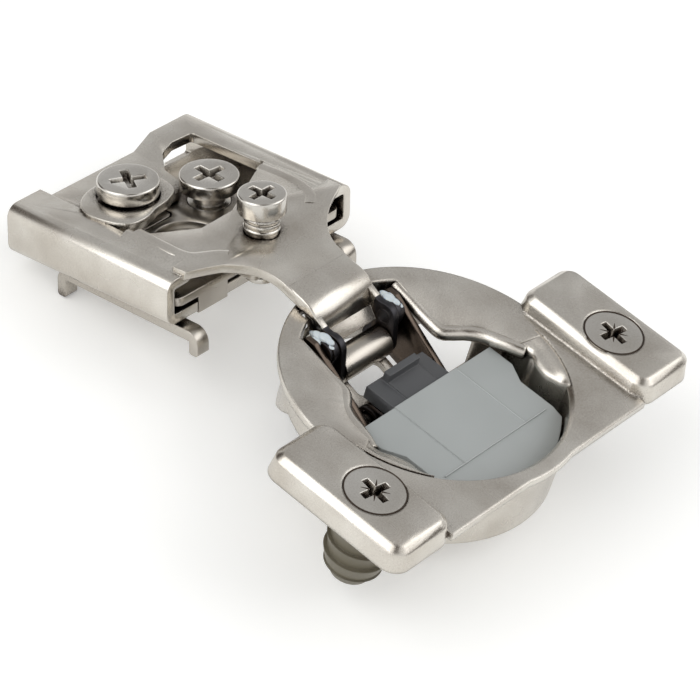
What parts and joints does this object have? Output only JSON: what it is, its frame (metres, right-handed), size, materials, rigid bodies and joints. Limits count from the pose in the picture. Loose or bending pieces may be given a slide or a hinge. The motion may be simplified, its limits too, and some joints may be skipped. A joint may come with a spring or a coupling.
{
  "type": "concealed cup hinge",
  "caption": "Compact concealed cup hinge for a face-frame door, with a damper in the cup, a two-link arm and cam and screw adjustment.",
  "frame": {"origin": "on the cup's axis at the door face, which the flange's underside rests on", "axes": "+X from the cup towards the arm's head, across the door's edge; +Y along the door's edge; +Z out of the door's face"},
  "size_m": [0.0742, 0.0568, 0.0227],
  "materials": {
    "flange_nickel": "satin nickel plate",
    "arm_nickel": "satin nickel plate",
    "link_steel": "nickel plate",
    "plate_nickel": "satin nickel plate",
    "pin_steel": "polished steel",
    "screw_nickel": "bright nickel plate",
    "spring_steel": "spring steel",
    "housing_plastic": "moulded light grey",
    "slider_plastic": "moulded dark grey",
    "dowel_plastic": "moulded olive grey",
    "damper_steel": "plain steel"
  },
  "bodies": {
    "cup_body": {"cup": "flange_nickel", "flange_screws": "screw_nickel", "dowels": "dowel_plastic", "pivot_bracket": "link_steel", "outer_pivot_rivets": "pin_steel", "inner_pivot_pin": "pin_steel", "closing_springs": "spring_steel", "damper_housing": "housing_plastic", "damper_cylinder": "damper_steel"},
    "slider": {"damper_slider": "slider_plastic", "piston_rod": "damper_steel"},
    "outer_links": {"outer_link_left": "link_steel", "outer_link_right": "link_steel"},
    "inner_link": {"inner_link": "link_steel"},
    "arm": {"arm": "arm_nickel", "arm_rivets": "pin_steel", "knuckle_pin": "pin_steel"},
    "depth_cam": {"depth_cam": "screw_nickel"},
    "depth_shoe": {"depth_shoe": "plate_nickel"},
    "carrier": {"carrier_plate": "plate_nickel"},
    "side_screw": {"side_screw": "screw_nickel"},
    "height_cam": {"height_cam": "screw_nickel"},
    "base_plate": {"base_plate": "plate_nickel"}
  },
  "joints": [
    {"name": "outer_link_hinge", "type": "hinge", "parent": "cup_body", "child": "outer_links", "pos_m": [0.01305, 0, -0.00582], "axis": [0, -1, 0], "range_deg": [0, 82.8], "deforming": ["closing_springs"]},
    {"name": "arm_hinge", "type": "hinge", "parent": "outer_links", "child": "arm", "pos_m": [0.01177, 0, -0.0008], "axis": [0, -1, 0], "range_deg": [0, 22.2]},
    {"name": "inner_link_hinge", "type": "hinge", "parent": "cup_body", "child": "inner_link", "pos_m": [0.00399, 0, -0.00647], "axis": [0, -1, 0], "range_deg": [-17.8, 0]},
    {"name": "damper_slide", "type": "slide", "parent": "cup_body", "child": "slider", "axis": [-1, 0, 0], "range_m": [0, 0.0026]},
    {"name": "depth_cam_turn", "type": "hinge", "parent": "arm", "child": "depth_cam", "pos_m": [0.04625, 0.0049, -0.0024], "axis": [0.2588, 0, 0.9659], "range_deg": [-90, 90]},
    {"name": "depth_slide", "type": "slide", "parent": "arm", "child": "depth_shoe", "axis": [0.9659, 0, -0.2588], "range_m": [-0.0012, 0.0012]},
    {"name": "side_screw_turn", "type": "hinge", "parent": "arm", "child": "side_screw", "pos_m": [0.02838, 0.0008, 0.00238], "axis": [0.2588, 0, 0.9659], "range_deg": [-360, 360]},
    {"name": "side_tilt", "type": "hinge", "parent": "depth_shoe", "child": "carrier", "pos_m": [0.04743, 0, -0.0065], "axis": [0, 1, 0], "range_deg": [-1.5, 1.5]},
    {"name": "height_cam_turn", "type": "hinge", "parent": "carrier", "child": "height_cam", "pos_m": [0.0421, -0.0052, -0.00129], "axis": [0.2588, 0, 0.9659], "range_deg": [-90, 90]},
    {"name": "height_slide", "type": "slide", "parent": "carrier", "child": "base_plate", "axis": [0, 1, 0], "range_m": [-0.0015, 0.0015]}
  ],
  "couplings": [
    {"joint": "arm_hinge", "follows": "outer_link_hinge", "ratio": 0.26812},
    {"joint": "inner_link_hinge", "follows": "outer_link_hinge", "ratio": -0.21377},
    {"joint": "damper_slide", "follows": "outer_link_hinge", "m_per_rad": 0.0017991},
    {"joint": "depth_cam_turn", "follows": "depth_slide", "rad_per_m": 1308.9},
    {"joint": "side_screw_turn", "follows": "side_tilt", "ratio": 239.99},
    {"joint": "height_cam_turn", "follows": "height_slide", "rad_per_m": 1047.1}
  ]
}
